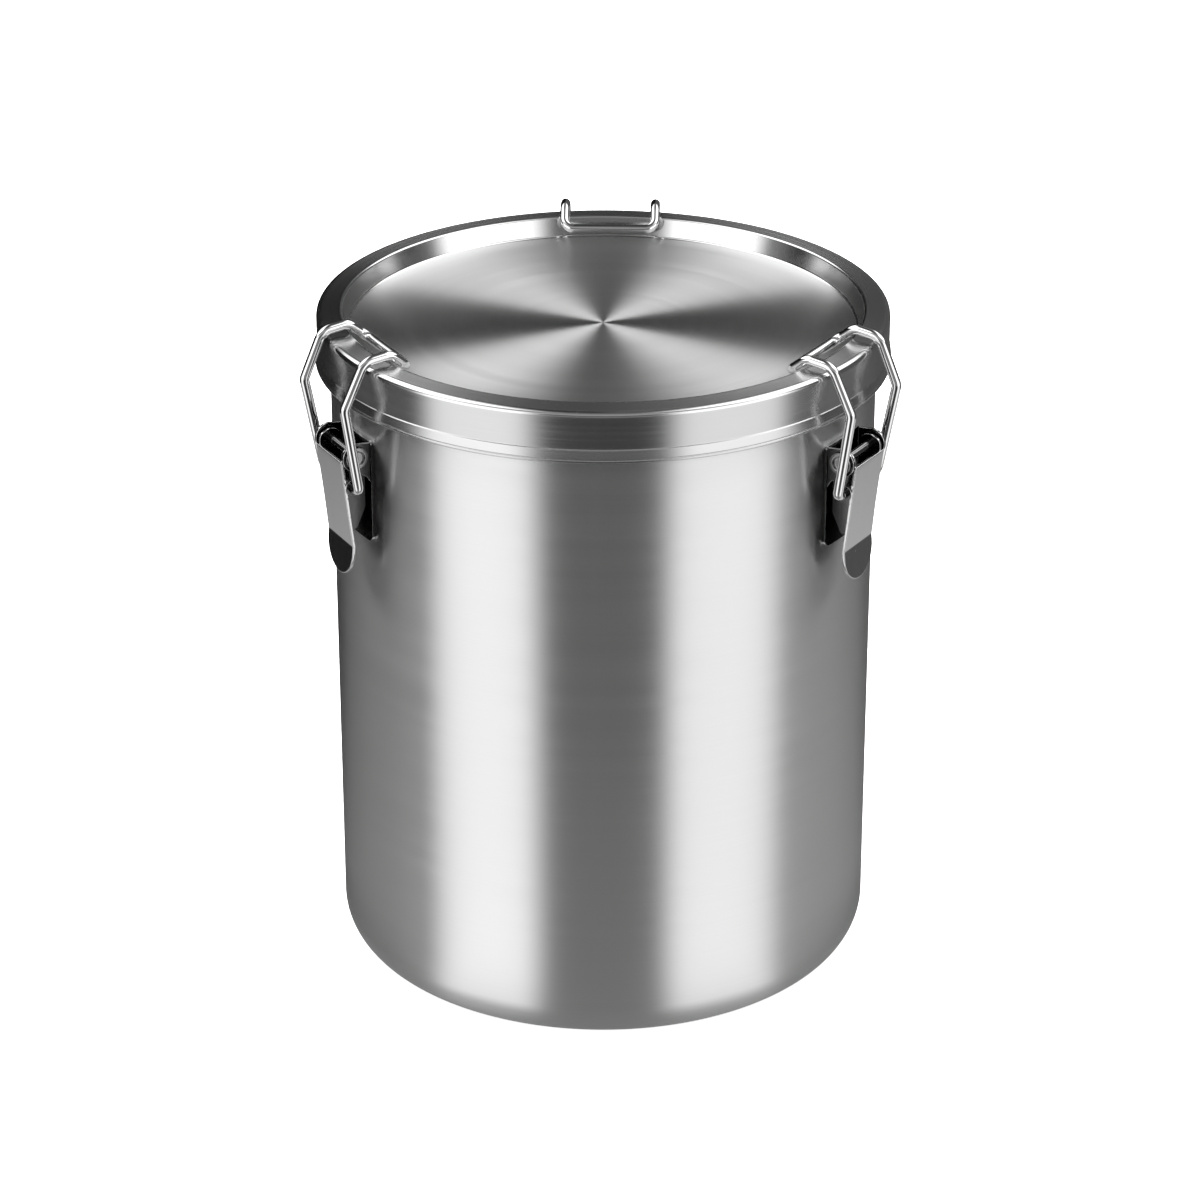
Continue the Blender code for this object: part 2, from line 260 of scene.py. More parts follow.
def shaded(obj, angle=35):
    """Smooth shading in which large flat faces stay flat beside their rounded rims."""
    obj.data.shade_smooth()
    obj.data.set_sharp_from_angle(angle=math.radians(angle))
    modifier = obj.modifiers.new("flat_faces", "WEIGHTED_NORMAL")
    modifier.mode = "FACE_AREA"
    modifier.weight = 100
    modifier.keep_sharp = True
    bpy.context.view_layer.update()
    mesh = bpy.data.meshes.new_from_object(obj.evaluated_get(bpy.context.evaluated_depsgraph_get()))
    obj.modifiers.remove(modifier)
    obj.data = mesh
    return obj


def circle(centre, radius, segments):
    return [
        (centre[0] + radius * math.cos(2 * math.pi * (i + 0.5) / segments), centre[1] + radius * math.sin(2 * math.pi * (i + 0.5) / segments))
        for i in range(segments)
    ]


def local(point, origin):
    return (point[0] - origin[0], point[1] - origin[1])


def rounded(corners, radii, count):
    """A 3-D path with each inner corner replaced by a tangent arc."""
    points = [corners[0]]
    for before, corner, after, radius in zip(corners, corners[1:], corners[2:], radii):
        a = (before - corner).normalized()
        b = (after - corner).normalized()
        half = a.angle(b) / 2
        reach = radius / math.tan(half)
        centre = corner + (a + b).normalized() * (radius / math.sin(half))
        first = corner + a * reach - centre
        last = corner + b * reach - centre
        turn = first.angle(last)
        for i in range(count):
            s = i / (count - 1)
            points.append(centre + first * (math.sin((1 - s) * turn) / math.sin(turn)) + last * (math.sin(s * turn) / math.sin(turn)))
    points.append(corners[-1])
    return points


def tube(name, path, radius, segments, chamfer=0.25):
    """A round wire along a path, its cut ends slightly rounded."""
    spaced = [path[0]]
    for p, q in zip(path, path[1:]):
        cuts = max(1, int((q - p).length / 2.5))
        spaced += [p.lerp(q, (k + 1) / cuts) for k in range(cuts)]
    path = spaced
    tangents = []
    for i in range(len(path)):
        before, after = path[max(i - 1, 0)], path[min(i + 1, len(path) - 1)]
        a = (path[i] - before).normalized() if i else (after - path[i]).normalized()
        b = (after - path[i]).normalized() if i < len(path) - 1 else a
        tangents.append((a + b).normalized())
    bm = bmesh.new()
    normal = tangents[0].orthogonal().normalized()
    rings = []

    def ring(point, tangent, normal, r):
        side = tangent.cross(normal)
        return [
            bm.verts.new((point + normal * (r * math.cos(2 * math.pi * k / segments)) + side * (r * math.sin(2 * math.pi * k / segments))) * MM)
            for k in range(segments)
        ]

    for i, (point, tangent) in enumerate(zip(path, tangents)):
        if i:
            normal = tangents[i - 1].rotation_difference(tangent) @ normal
        normal = (normal - tangent * normal.dot(tangent)).normalized()
        if i == 0:
            for s in (0.0, 0.3, 0.7):
                rings.append(ring(point + tangent * (chamfer * s), tangent, normal, radius - chamfer * (1 - math.sqrt(1 - (1 - s) ** 2))))
            rings.append(ring(point + tangent * chamfer, tangent, normal, radius))
        elif i == len(path) - 1:
            rings.append(ring(point - tangent * chamfer, tangent, normal, radius))
            for s in (0.7, 0.3, 0.0):
                rings.append(ring(point - tangent * (chamfer * s), tangent, normal, radius - chamfer * (1 - math.sqrt(1 - (1 - s) ** 2))))
        else:
            rings.append(ring(point, tangent, normal, radius))
    for a, b in zip(rings, rings[1:]):
        for k in range(segments):
            m = (k + 1) % segments
            bm.faces.new((a[k], a[m], b[m], b[k]))
    bm.faces.new(rings[0][::-1])
    bm.faces.new(rings[-1])
    return finished(name, bm, 60)


# ---------------------------------------------------------------- can, lid, ring


def can_profile():
    inner = CAN_RADIUS - CAN_WALL
    corner = (CAN_RADIUS - CAN_CORNER, CAN_CORNER)
    bead = (CAN_RADIUS + 0.9, RIM_BEAD_TOP - RIM_BEAD_RADIUS)
    foot = CAN_RADIUS - CAN_CORNER
    profile = [(0, 0.45), (30, 0.45), (52, 0.42), (57, 0.3), (61, 0.08), (64, 0.0)]
    profile += arc(corner, CAN_CORNER, -90, 0, 26)
    profile += [(CAN_RADIUS, 60.0), (CAN_RADIUS, 120.0), (CAN_RADIUS, 160.0)]
    profile += [(CAN_RADIUS, bead[1] - 1.75), (CAN_RADIUS + 0.06, bead[1] - 1.45), (CAN_RADIUS + 0.22, bead[1] - 1.26)]
    profile += arc(bead, RIM_BEAD_RADIUS, -86, 92, 20)
    profile += [(CAN_RADIUS + 0.35, RIM_BEAD_TOP - 0.03), (inner + 0.62, RIM_BEAD_TOP - 0.14), (inner + 0.27, RIM_BEAD_TOP - 0.42)]
    profile += [(inner + 0.06, RIM_BEAD_TOP - 0.85), (inner, RIM_BEAD_TOP - 1.4)]
    profile += [(inner, 150.0), (inner, 90.0), (inner, 40.0)]
    profile += arc(corner, CAN_CORNER - CAN_WALL, 0, -90, 22)
    profile += [(foot - 6, CAN_WALL), (foot - 10, CAN_WALL + 0.1), (foot - 16, CAN_WALL + 0.35), (52, CAN_WALL + 0.42), (30, CAN_WALL + 0.45), (0, CAN_WALL + 0.45)]
    return supported(profile, 0.25)


def lid_profile():
    floor = LID_TOP - LID_RECESS
    bottom = LID_TOP - LID_SKIRT
    skirt_inner = LID_RADIUS - LID_SHEET
    under = LID_TOP - LID_SHEET
    hem_top = bottom + HEM_HEIGHT
    profile = [(0, floor), (20, floor), (40, floor), (60, floor)]
    profile += arc((LID_FLOOR_RADIUS - 1.15, floor + 0.95), 0.95, -90, -14, 12)
    profile += arc((LID_RING_INNER + LID_RING_EDGE - 0.05, LID_TOP - LID_RING_EDGE), LID_RING_EDGE, 172, 90, 12)
    # the ring falls a little outwards, then turns down over the edge
    profile += arc((LID_RADIUS - LID_EDGE, LID_TOP - LID_EDGE - RING_FALL), LID_EDGE, 90 - RING_TILT, 0, 18)
    # rolled hem: a small step out, then a flattened roll
    profile += softened(
        [
            (LID_RADIUS, hem_top + 0.6, 0),
            (LID_RADIUS, hem_top - 0.55, 0.2),
            (HEM_RADIUS - 0.34, hem_top - 0.85, 0.3),
            (HEM_RADIUS, bottom + 1.35, 0.25),
            (HEM_RADIUS - 0.2, bottom + 1.1, 0.12),
            (HEM_RADIUS, bottom + 0.8, 0.25),
            (HEM_RADIUS, bottom + 0.1, 0.6),
            (HEM_INNER + 0.05, bottom - 0.0, 0.9),
            (HEM_INNER, hem_top - 0.7, 0.5),
            (skirt_inner, hem_top - 0.1, 0.4),
            (skirt_inner, hem_top + 2.0, 0),
        ],
        closed=False,
    )
    profile += arc((LID_RADIUS - LID_EDGE, LID_TOP - LID_EDGE), LID_EDGE - LID_SHEET, 0, 90, 10)
    profile += softened(
        [
            (LID_RING_INNER + 4.0, under, 0),
            (LID_RING_INNER + LID_SHEET + 0.15, under, 0.75),
            (LID_FLOOR_RADIUS + LID_SHEET - 0.1, floor - LID_SHEET, 1.6),
            (60, floor - LID_SHEET, 0),
        ],
        closed=False,
    )
    profile += [(40, floor - LID_SHEET), (20, floor - LID_SHEET), (0, floor - LID_SHEET)]
    return supported(profile, 0.1)


def gasket_profile():
    low, high = GASKET_BOTTOM, GASKET_TOP
    return supported(
        softened(
            [
                (GASKET_INNER, low, 0.4),
                (GASKET_INNER + 1.3, low, 0.2),
                (GASKET_INNER + 1.6, low + 0.25, 0.2),
                (GASKET_OUTER - 1.6, low + 0.25, 0.2),
                (GASKET_OUTER - 1.3, low, 0.2),
                (GASKET_OUTER, low, 0.4),
                (GASKET_OUTER, high, 0.55),
                (GASKET_INNER, high, 0.55),
            ]
        ),
        0.05,
    )


# ---------------------------------------------------------------- latch pieces


def lever_line():
    """Outer face of the lever's front about the pivot, from its upper edge to the tab's end."""
    top = local(LEVER_TOP, LEVER_PIVOT)
    kink = local(LEVER_KINK, LEVER_PIVOT)
    end = local(LEVER_TAB_END, LEVER_PIVOT)
    line = softened([(top[0], top[1], 0), (kink[0], kink[1], 3.0), (end[0], end[1], 0)], closed=False, step=1.2)
    spaced = [line[0]]
    for p, q in zip(line, line[1:]):
        cuts = max(1, int(math.hypot(q[0] - p[0], q[1] - p[1]) / 2.0))
        spaced += [(p[0] + (q[0] - p[0]) * (k + 1) / cuts, p[1] + (q[1] - p[1]) * (k + 1) / cuts) for k in range(cuts)]
    return spaced


def offset_in(points, distance):
    moved = []
    for i, point in enumerate(points):
        before, after = points[max(i - 1, 0)], points[min(i + 1, len(points) - 1)]
        along = (after[0] - before[0], after[1] - before[1])
        length = math.hypot(*along)
        moved.append((point[0] + along[1] / length * distance, point[1] - along[0] / length * distance))
    return moved


def line_at(points, height):
    for a, b in zip(points, points[1:]):
        if a[1] >= height >= b[1]:
            s = (a[1] - height) / (a[1] - b[1])
            return (a[0] + (b[0] - a[0]) * s, height)
    return points[-1]


def make_lever():
    outer = lever_line()
    lever = prism("lever", outer + offset_in(outer, SHEET)[::-1], -LEVER_HALF_WIDTH - 1, LEVER_HALF_WIDTH + 1)
    end = local(LEVER_TAB_END, LEVER_PIVOT)[1]
    low = end + LEVER_HALF_WIDTH
    side = softened(
        [
            (LEVER_HALF_WIDTH, 6.0, 0),
            (LEVER_HALF_WIDTH, -3.0, 20),
            (LEVER_WAIST_HALF_WIDTH, 0.42 * low, 20),
            (LEVER_WAIST_HALF_WIDTH, 0.62 * low, 20),
            (LEVER_HALF_WIDTH - 0.05, 0.86 * low, 20),
            (LEVER_HALF_WIDTH - 0.05, low, 0),
        ],
        closed=False,
        step=1.5,
    )
    tab = arc((0, low), LEVER_HALF_WIDTH - 0.05, 0, -180, 49)
    outline = side[:-1] + tab + [(-y, z) for y, z in side[-2::-1]]
    merge(lever, prism("outline", outline, -20, 20, along="x"), "INTERSECT")
    rim_rounded(lever, 0.24, 3, 60)

    eye = local(BAIL_PIVOT, LEVER_PIVOT)
    back = FLANGE_BACK - LEVER_PIVOT[0]
    middle = offset_in(outer, SHEET * 0.5)
    low_front = line_at(middle, LEVER_HEEL)
    high_front = line_at(middle, -1.9)
    # the sides rise above the front's upper edge, round the pivot pin, so the top of the channel is open
    outline = [low_front, line_at(middle, -16.0), line_at(middle, -10.0), line_at(middle, -5.0)]
    outline += softened([(high_front[0], high_front[1], 0), (3.62, 1.7, 2.6), (1.16, 2.87, 0)], closed=False, step=7)
    outline += arc((0, 0), LEVER_EYE_RADIUS, 72, 206, 24)
    outline += softened(
        [
            (-2.86, -1.8, 0),
            (back + 0.1, -4.4, 1.2),
            (back, -8.0, 0),
            (back, -16.3, 3.0),
            (back + 2.9, LEVER_HEEL - 0.1, 1.0),
            (low_front[0], low_front[1], 0),
        ],
        closed=False,
        step=7,
    )[:-1]
    for sign in (1, -1):
        # the flange is bent back from the front's edge
        faces = sorted((sign * (LEVER_WAIST_HALF_WIDTH - SHEET), sign * (LEVER_WAIST_HALF_WIDTH - 0.01)))
        flange = prism("flange", outline, *faces, bevel=0.16, segments=3)
        merge(lever, flange, "UNION")
        # a shallow pressed boss stiffens the hole that the wire turns in
        faces = sorted((sign * (LEVER_WAIST_HALF_WIDTH - 0.3), sign * (LEVER_WAIST_HALF_WIDTH + 0.22)))
        merge(lever, prism("boss", circle(eye, 2.55, 40), *faces, bevel=0.16, segments=3), "UNION")
    merge(lever, prism("bore", circle((0, 0), PIN_RADIUS + 0.1, 40), -15, 15), "DIFFERENCE")
    merge(lever, prism("bore", circle(eye, WIRE_RADIUS + 0.1, 40), -15, 15), "DIFFERENCE")
    return shaded(lever)


def make_bracket():
    top = BRACKET_TOP - LEVER_PIVOT[1]
    bottom = BRACKET_BOTTOM - LEVER_PIVOT[1]
    w = BRACKET_HALF_WIDTH
    inner = CAN_RADIUS + 0.06
    axis = -LEVER_PIVOT[0]
    reach = math.degrees(math.asin((w + 2) / inner))
    shell = arc((axis, 0), inner + 0.86, -reach, reach, 33) + arc((axis, 0), inner, reach, -reach, 33)
    bracket = prism("bracket", shell, bottom - 3, top + 3, along="z")
    outline = softened([(w, top, 1.2), (-w, top, 1.2), (-w, bottom, 2.4), (w, bottom, 2.4)], step=6)
    merge(bracket, prism("outline", outline, -20, 20, along="x"), "INTERSECT")
    rim_rounded(bracket, 0.16, 3, 60)
    # two spot welds, each pressed a little into the plate
    for height in (-12.6, -21.4):
        dent = turned("weld", [(0, -0.16), (0.8, -0.15), (1.35, -0.1), (1.75, 0.02), (2.1, 0.3), (2.1, 2.0), (0, 2.0)], 40)
        dent.data.transform(Matrix.Translation(Vector((axis + inner + 0.86, 0, height)) * MM) @ Matrix.Rotation(math.radians(90), 4, "Y"))
        merge(bracket, dent, "DIFFERENCE")
    face = axis + inner + 0.6
    for sign in (1, -1):
        ear = arc((0, 0), EAR_RADIUS, 104, -62, 28) + softened(
            [(2.6, -3.6, 0), (face + 1.2, -6.2, 1.5), (face - 0.1, -8.2, 0)], closed=False
        )[1:] + [(face - 0.1, top - 0.25)]
        faces = sorted((sign * (w - 0.01), sign * (w - EAR_THICKNESS)))
        merge(bracket, prism("ear", ear, *faces, bevel=0.18, segments=3), "UNION")
    merge(bracket, prism("bore", circle((0, 0), PIN_RADIUS + 0.05, 40), -15, 15), "DIFFERENCE")
    return shaded(bracket)


def make_pin():
    head = BRACKET_HALF_WIDTH - 0.02 + PIN_HEAD_GAP
    end = head + PIN_HEAD_THICKNESS
    side = softened(
        [
            (0, end - 0.42, 0),
            (1.7, end - 0.42, 0.5),
            (2.35, end, 0.35),
            (PIN_HEAD_RADIUS, end - 0.02, 0.34),
            (PIN_HEAD_RADIUS, head, 0.12),
            (PIN_RADIUS, head, 0.1),
            (PIN_RADIUS, 0, 0),
        ],
        closed=False,
        step=12,
    )
    profile = side[:-1] + [(r, -z) for r, z in side[-2::-1]]
    pin = turned("pin", supported(profile, 0.05), 64, sharp=50)
    pin.data.transform(Matrix.Rotation(math.radians(90), 4, "X"))
    return pin


def make_bail():
    corners = (
        (BAIL_PIVOT, BAIL_FOOT_HALF_WIDTH),
        (BAIL_KNEE, BAIL_KNEE_HALF_WIDTH),
        (BAIL_SHOULDER, BAIL_HALF_WIDTH),
        (BAIL_CREST, BAIL_HALF_WIDTH),
        (BAIL_HOOK, BAIL_HALF_WIDTH),
    )
    side = []
    for point, half_width in corners:
        x, z = local(point, BAIL_PIVOT)
        side.append(Vector((x, half_width, z)))
    other = [Vector((p.x, -p.y, p.z)) for p in side]
    path = [Vector((0, BAIL_STUB_END, 0))] + side + other[::-1] + [Vector((0, -BAIL_STUB_END, 0))]
    return tube("bail", rounded(path, BAIL_BENDS + BAIL_BENDS[::-1], 14), WIRE_RADIUS, 28)


# ---------------------------------------------------------------- node helpers


class Maths:
    """Arithmetic on node sockets, so that a material reads like a formula."""

    def __init__(self, tree):
        self.tree = tree

    def put(self, socket, value):
        if isinstance(value, (int, float)):
            socket.default_value = value
        else:
            self.tree.links.new(value, socket)

    def op(self, operation, *values, clamp=False):
        node = self.tree.nodes.new("ShaderNodeMath")
        node.operation = operation
        node.use_clamp = clamp
        for i, value in enumerate(values):
            self.put(node.inputs[i], value)
        return node.outputs[0]

    def add(self, a, b):
        return self.op("ADD", a, b)

    def sub(self, a, b):
        return self.op("SUBTRACT", a, b)

    def mul(self, a, b):
        return self.op("MULTIPLY", a, b)

    def smooth(self, value, low, high, out_low=0.0, out_high=1.0):
        node = self.tree.nodes.new("ShaderNodeMapRange")
        node.interpolation_type = "SMOOTHSTEP"
        for name, v in (("Value", value), ("From Min", low), ("From Max", high), ("To Min", out_low), ("To Max", out_high)):
            self.put(node.inputs[name], v)
        return node.outputs[0]

    def band(self, value, low, high, soft):
        """1 between low and high, with soft edges centred on them."""
        return self.mul(self.smooth(value, low - soft / 2, low + soft / 2), self.smooth(value, high - soft / 2, high + soft / 2, 1.0, 0.0))

    def xyz(self, vector):
        node = self.tree.nodes.new("ShaderNodeSeparateXYZ")
        self.tree.links.new(vector, node.inputs[0])
        return node.outputs

    def vec(self, x, y, z):
        node = self.tree.nodes.new("ShaderNodeCombineXYZ")
        for socket, value in zip(node.inputs, (x, y, z)):
            self.put(socket, value)
        return node.outputs[0]

    def noise(self, vector, scale, detail=2.0, rough=0.5, distortion=0.0):
        node = self.tree.nodes.new("ShaderNodeTexNoise")
        node.inputs["Scale"].default_value = scale
        node.inputs["Detail"].default_value = detail
        node.inputs["Roughness"].default_value = rough
        node.inputs["Distortion"].default_value = distortion
        self.tree.links.new(vector, node.inputs["Vector"])
        return node.outputs["Fac"]

    def coordinates(self, kind="Object"):
        return self.tree.nodes.new("ShaderNodeTexCoord").outputs[kind]

    def grey(self, value):
        """A neutral colour from a value."""
        node = self.tree.nodes.new("ShaderNodeCombineColor")
        for socket in node.inputs:
            self.put(socket, value)
        return node.outputs[0]


def principled(name):
    material = bpy.data.materials.new(name)
    material.use_nodes = True
    return material, material.node_tree.nodes["Principled BSDF"], Maths(material.node_tree)


def bump(m, shader, height, distance):
    node = m.tree.nodes.new("ShaderNodeBump")
    node.inputs["Strength"].default_value = 1.0
    node.inputs["Distance"].default_value = distance
    m.tree.links.new(height, node.inputs["Height"])
    m.tree.links.new(node.outputs[0], shader.inputs["Normal"])


def around_z(m, shader, rotation):
    node = m.tree.nodes.new("ShaderNodeTangent")
    node.direction_type = "RADIAL"
    node.axis = "Z"
    m.tree.links.new(node.outputs[0], shader.inputs["Tangent"])
    shader.inputs["Anisotropic Rotation"].default_value = rotation


def brushed_round(name, colour, roughness, anisotropic, disc, streak=0.035, relief=0.0000025):
    """Steel brushed round the axis: hair-fine lines run round it, over broader streaks and a faint cloudy unevenness.
    """
    material, shader, m = principled(name)
    x, y, z = m.xyz(m.coordinates())
    radius = m.op("SQRT", m.add(m.mul(x, x), m.mul(y, y)))
    across = radius if disc else z
    lines = m.noise(m.vec(m.mul(x, 9.0), m.mul(y, 9.0), m.mul(across, 2600.0)), 1.0, 3.0, 0.6)
    broad = m.noise(m.vec(m.mul(x, 5.0), m.mul(y, 5.0), m.mul(across, 320.0)), 1.0, 2.0, 0.5)
    cloud = m.noise(m.coordinates(), 22.0, 3.0, 0.55)
    mixed = m.add(m.mul(m.sub(lines, 0.5), 1.0), m.mul(m.sub(broad, 0.5), 0.7))
    tone = m.add(colour, m.add(m.mul(mixed, streak), m.mul(m.sub(cloud, 0.5), 0.02)))
    m.tree.links.new(m.grey(tone), shader.inputs["Base Color"])
    rough = m.add(roughness, m.add(m.mul(mixed, 0.10), m.mul(m.sub(cloud, 0.5), 0.05)))
    m.tree.links.new(m.op("MAXIMUM", rough, 0.08), shader.inputs["Roughness"])
    shader.inputs["Metallic"].default_value = 1.0
    shader.inputs["Anisotropic"].default_value = anisotropic
    around_z(m, shader, 0.25)
    bump(m, shader, m.add(lines, m.mul(broad, 0.6)), relief)
    return material


def plain_steel(name, colour, roughness, grain=(900.0, 900.0, 120.0), relief=0.000002, spread=0.05):
    """Stamped or drawn steel with a faint grain along one direction, small scuffs and a slightly uneven polish."""
    material, shader, m = principled(name)
    x, y, z = m.xyz(m.coordinates())
    lines = m.noise(m.vec(m.mul(x, grain[0]), m.mul(y, grain[1]), m.mul(z, grain[2])), 1.0, 3.0, 0.6)
    cloud = m.noise(m.coordinates(), 160.0, 3.0, 0.6)
    scuff = m.smooth(m.noise(m.vec(m.mul(x, 2200.0), m.mul(y, 500.0), m.mul(z, 260.0)), 1.0, 2.0, 0.5), 0.66, 0.78)
    tone = m.add(colour, m.add(m.mul(m.sub(lines, 0.5), 0.04), m.add(m.mul(m.sub(cloud, 0.5), 0.03), m.mul(scuff, -0.03))))
    m.tree.links.new(m.grey(tone), shader.inputs["Base Color"])
    rough = m.add(roughness, m.add(m.mul(m.sub(lines, 0.5), spread), m.add(m.mul(m.sub(cloud, 0.5), spread), m.mul(scuff, 0.12))))
    m.tree.links.new(m.op("MAXIMUM", rough, 0.04), shader.inputs["Roughness"])
    shader.inputs["Metallic"].default_value = 1.0
    bump(m, shader, m.add(lines, cloud), relief)
    return material


def silicone(name):
    material, shader, m = principled(name)
    cloud = m.noise(m.coordinates(), 90.0, 3.0, 0.6)
    fine = m.noise(m.coordinates(), 2400.0, 2.0, 0.5)
    tone = m.add(0.78, m.mul(m.sub(cloud, 0.5), 0.06))
    m.tree.links.new(m.grey(tone), shader.inputs["Base Color"])
    m.tree.links.new(m.add(0.42, m.mul(m.sub(cloud, 0.5), 0.15)), shader.inputs["Roughness"])
    shader.inputs["Subsurface Weight"].default_value = 0.35
    shader.inputs["Subsurface Radius"].default_value = (0.002, 0.002, 0.0018)
    shader.inputs["Subsurface Scale"].default_value = 1.0
    bump(m, shader, fine, 0.000004)
    return material


# ---------------------------------------------------------------- build the pieces

CAN_STEEL = brushed_round("brushed_can_steel", 0.62, 0.36, 0.95, disc=False)
LID_STEEL = brushed_round("brushed_lid_steel", 0.62, 0.40, 0.97, disc=True, streak=0.05)
LID_EDGE_STEEL = plain_steel("polished_lid_edge", 0.62, 0.14, relief=0.0000004)
LID_RING_STEEL = brushed_round("brushed_lid_ring", 0.62, 0.25, 0.92, disc=True, streak=0.03, relief=0.0000004)
# the skirt's steel is a darker copy of the lid's, as painted shade; its finer brushing is its own
LID_SKIRT_STEEL = brushed_round("fine_lid_skirt_steel_with_painted_shade", 0.515, 0.24, 0.6, disc=False, streak=0.03, relief=0.0000003)
PLATE_STEEL = plain_steel("stamped_latch_steel", 0.6, 0.15)
# a near-black copy of the plate steel: painted shade for the latch's sides and backs
SHADED_LATCH_STEEL = plain_steel("latch_steel_painted_shade", 0.075, 0.13)
WIRE_STEEL = plain_steel("polished_wire_steel", 0.7, 0.06, relief=0.0000006, spread=0.03)
# the pin's steel is made dark as painted shade, for its place deep inside the latch
SHADED_PIN_STEEL = plain_steel("turned_pin_steel_painted_shade", 0.24, 0.12, relief=0.000001)
SILICONE = silicone("milky_silicone")


def keep(obj, name, material, body, slot, *nodes):
    obj.name = name
    obj.data.name = name
    obj.data.materials.clear()
    for item in material if isinstance(material, (list, tuple)) else [material]:
        obj.data.materials.append(item)
    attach(obj, body)
    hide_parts(*nodes)
    return obj


can = turned("can_shell", can_profile())
keep(can, "can_shell", CAN_STEEL, "can", "can_steel", "can_body")

lid = turned("lid_shell", lid_profile())
keep(lid, "lid_shell", [LID_STEEL, LID_EDGE_STEEL, LID_SKIRT_STEEL, LID_RING_STEEL], "lid", "lid_steel", "lid")
for face in lid.data.polygons:
    centre = face.center
    radius = math.hypot(centre.x, centre.y) / MM
    height = centre.z / MM
    if radius < LID_FLOOR_RADIUS - 0.9:
        face.material_index = 0
    elif height < LID_TOP - LID_EDGE and radius > LID_RADIUS - 1.0:
        face.material_index = 2
    elif height > LID_TOP - 0.5 and LID_RING_INNER + LID_RING_EDGE < radius < LID_RADIUS - LID_EDGE:
        face.material_index = 3
    else:
        face.material_index = 1

ring = turned("sealing_ring", gasket_profile(), 192)
keep(ring, "sealing_ring", SILICONE, "lid", "gasket_silicone", "lid_gasket")

shapes = (
    ("bracket", make_bracket(), LEVER_PIVOT, [PLATE_STEEL, SHADED_LATCH_STEEL], "latch_steel"),
    ("pivot_pin", make_pin(), LEVER_PIVOT, SHADED_PIN_STEEL, "wire_steel"),
    ("lever", make_lever(), LEVER_PIVOT, [PLATE_STEEL, SHADED_LATCH_STEEL], "latch_steel"),
    ("bail", make_bail(), BAIL_PIVOT, WIRE_STEEL, "wire_steel"),
)
for kind, source, origin, material, slot in shapes:
    # painted shade: the lever's sides and back and all of the bracket's broad faces take a near-black copy of the plate
    # steel, while the lever's front, tab and every cut edge keep the bright steel
    painted_shade_faces = []
    front = lever_line()
    for face in source.data.polygons:
        broad = max(abs(face.normal.x), abs(face.normal.y)) > 0.94
        x, z = face.center.x / MM, face.center.z / MM
        behind = kind == "bracket" or face.normal.x < -0.5 or x < line_at(front, min(z, front[0][1]))[0] - SHEET * 0.9
        if kind in ("bracket", "lever") and broad and behind:
            painted_shade_faces.append(face.index)
    for side, azimuth in LATCHES:
        turn = math.radians(azimuth)
        piece = bpy.data.objects.new(f"{side}_latch_{kind}", source.data.copy())
        place = Matrix.Translation((origin[0] * math.cos(turn) * MM, origin[0] * math.sin(turn) * MM, origin[1] * MM))
        piece.data.transform(place @ Matrix.Rotation(turn, 4, "Z"))
        bpy.context.scene.collection.objects.link(piece)
        body = {"bracket": "can", "pivot_pin": "can", "lever": f"{side}_lever", "bail": f"{side}_bail"}[kind]
        keep(piece, f"{side}_latch_{kind}", material, body, slot, f"{side}_{kind}")
        for index in painted_shade_faces:
            piece.data.polygons[index].material_index = 1
    bpy.data.objects.remove(source, do_unlink=True)


# ---------------------------------------------------------------- floor, light, camera


